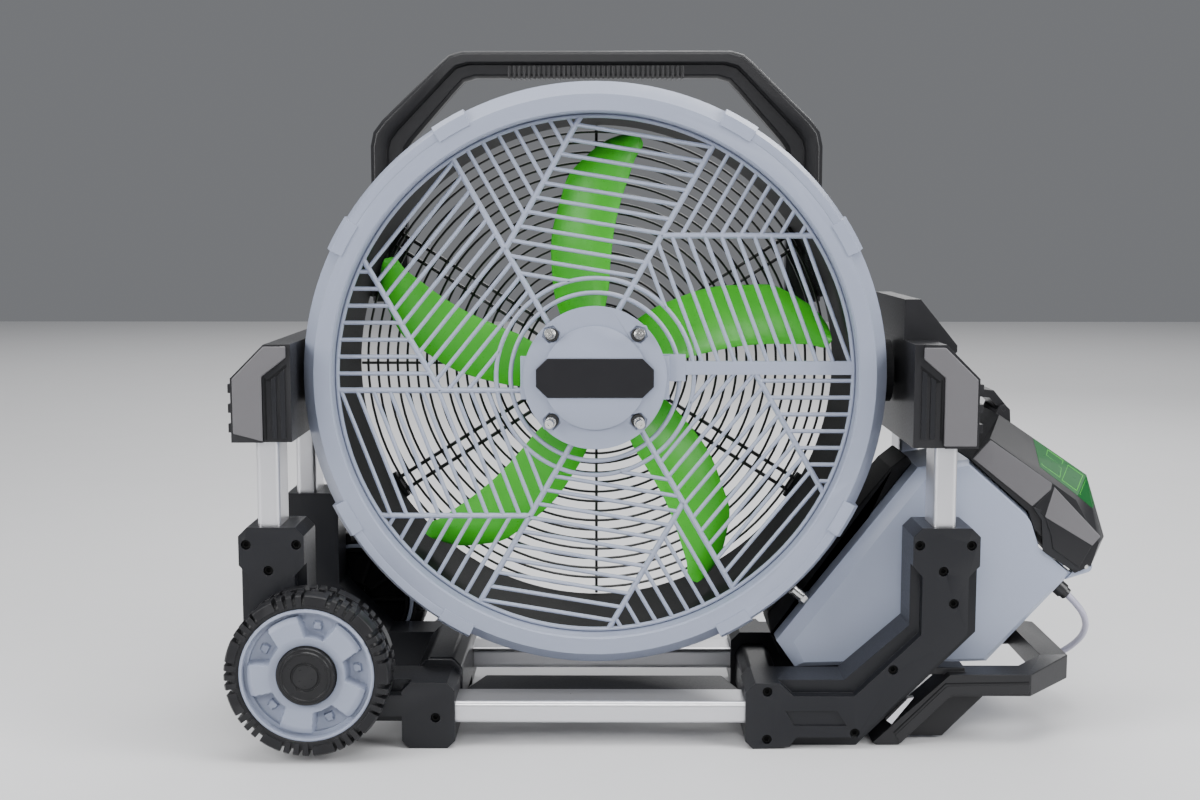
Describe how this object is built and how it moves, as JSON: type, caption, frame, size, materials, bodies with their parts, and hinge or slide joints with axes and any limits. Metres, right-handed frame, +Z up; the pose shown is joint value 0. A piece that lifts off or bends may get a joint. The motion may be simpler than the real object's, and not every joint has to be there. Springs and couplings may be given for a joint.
{
  "type": "misting floor fan",
  "caption": "Battery misting floor fan: round tilting head with swirl grille in a wheeled tube frame, with pump and battery box, hose and handles.",
  "frame": {"origin": "on the floor under the middle of the whole fan", "axes": "+X to the fan's right as seen from the front, towards the battery box; +Y from the front grille to the back; +Z up"},
  "size_m": [0.8204, 0.332, 0.655],
  "materials": {
    "tube_aluminium": "satin anodised",
    "casting_black": "fine moulded texture",
    "cap_charcoal": "satin moulded",
    "handle_black": "fine moulded texture",
    "steel_bright": "turned steel",
    "screw_dark": "black zinc",
    "shell_grey": "satin moulded",
    "ring_grey": "satin moulded",
    "inner_black": "fine moulded texture",
    "wire_black": "gloss powder coat",
    "motor_metal": "black coated casting",
    "battery_case": "satin moulded",
    "badge_dark": "satin plate",
    "seal_rubber": "matte",
    "fitting_black": "satin",
    "hose_clear": "translucent vinyl",
    "window_green": "tinted translucent",
    "accent_green": "satin moulded",
    "tyre_black": "moulded tread",
    "wheel_cap_grey": "satin moulded"
  },
  "bodies": {
    "frame": {"front_bottom_tube": "tube_aluminium", "rear_bottom_tube": "tube_aluminium", "front_left_upright": "tube_aluminium", "front_right_upright": "tube_aluminium", "rear_left_upright": "tube_aluminium", "rear_right_upright": "tube_aluminium", "front_left_casting": "casting_black", "front_right_casting": "casting_black", "rear_left_casting": "casting_black", "rear_right_casting": "casting_black", "left_cross_member": "casting_black", "right_cross_member": "casting_black", "lower_brace": "casting_black", "left_bracket": "cap_charcoal", "right_bracket": "cap_charcoal", "front_left_cap": "cap_charcoal", "front_right_cap": "cap_charcoal", "rear_left_cap": "cap_charcoal", "rear_right_cap": "cap_charcoal", "pivot_housing": "cap_charcoal", "pull_handle": "handle_black", "wheel_axle": "steel_bright", "frame_screws": "screw_dark", "pump_box": "shell_grey", "box_liner": "inner_black", "lid_hinge_pin": "steel_bright", "battery_pack": "battery_case", "battery_terminals": "inner_black", "pump": "inner_black", "outlet_connector": "steel_bright", "hose_fittings": "fitting_black", "hose": "hose_clear"},
    "head": {"front_ring": "ring_grey", "front_grille": "ring_grey", "hub_cap": "ring_grey", "hub_badge": "badge_dark", "mist_nozzles": "steel_bright", "nozzle_seals": "seal_rubber", "mist_tube": "inner_black", "drum": "inner_black", "rear_guard": "wire_black", "guard_clips": "inner_black", "motor_housing": "motor_metal", "carry_handle": "handle_black", "left_trunnion": "inner_black", "right_trunnion": "inner_black", "head_screws": "screw_dark"},
    "rotor": {"fan_blades": "accent_green", "rotor_shaft": "steel_bright"},
    "front_wheel": {"front_wheel_rim": "shell_grey", "front_wheel_tyre": "tyre_black", "front_wheel_cap": "wheel_cap_grey"},
    "rear_wheel": {"rear_wheel_rim": "shell_grey", "rear_wheel_tyre": "tyre_black", "rear_wheel_cap": "wheel_cap_grey"},
    "lid": {"battery_lid": "cap_charcoal", "lid_window": "window_green"},
    "latch": {"lid_latch": "cap_charcoal"},
    "dial": {"speed_dial": "cap_charcoal"},
    "button": {"power_button": "accent_green"}
  },
  "joints": [
    {"name": "head_tilt", "type": "hinge", "parent": "frame", "child": "head", "pos_m": [-0.07875, 0, 0.34], "axis": [-1, 0, 0], "range_deg": [-15, 90]},
    {"name": "rotor_spin", "type": "hinge", "parent": "head", "child": "rotor", "pos_m": [-0.07875, 0, 0.34], "axis": [0, 1, 0], "continuous": true},
    {"name": "front_wheel_spin", "type": "hinge", "parent": "frame", "child": "front_wheel", "pos_m": [-0.33575, -0.141, 0.081], "axis": [0, 1, 0], "continuous": true},
    {"name": "rear_wheel_spin", "type": "hinge", "parent": "frame", "child": "rear_wheel", "pos_m": [-0.33575, 0.141, 0.081], "axis": [0, 1, 0], "continuous": true},
    {"name": "lid_hinge", "type": "hinge", "parent": "frame", "child": "lid", "pos_m": [0.38925, 0, 0.157], "axis": [0, 1, 0], "range_deg": [0, 95]},
    {"name": "latch_lift", "type": "hinge", "parent": "lid", "child": "latch", "pos_m": [0.31225, 0, 0.3055], "axis": [0, 1, 0], "range_deg": [0, 15], "stiffness_Nm_per_rad": 0.6, "springref_deg": -11.46},
    {"name": "dial_turn", "type": "hinge", "parent": "frame", "child": "dial", "pos_m": [0.24175, 0.04, 0.3905], "axis": [0.7759, 0, 0.6309], "range_deg": [0, 270]},
    {"name": "button_press", "type": "slide", "parent": "frame", "child": "button", "axis": [-0.7759, 0, -0.6309], "range_m": [0, 0.0015], "stiffness_N_per_m": 900}
  ]
}
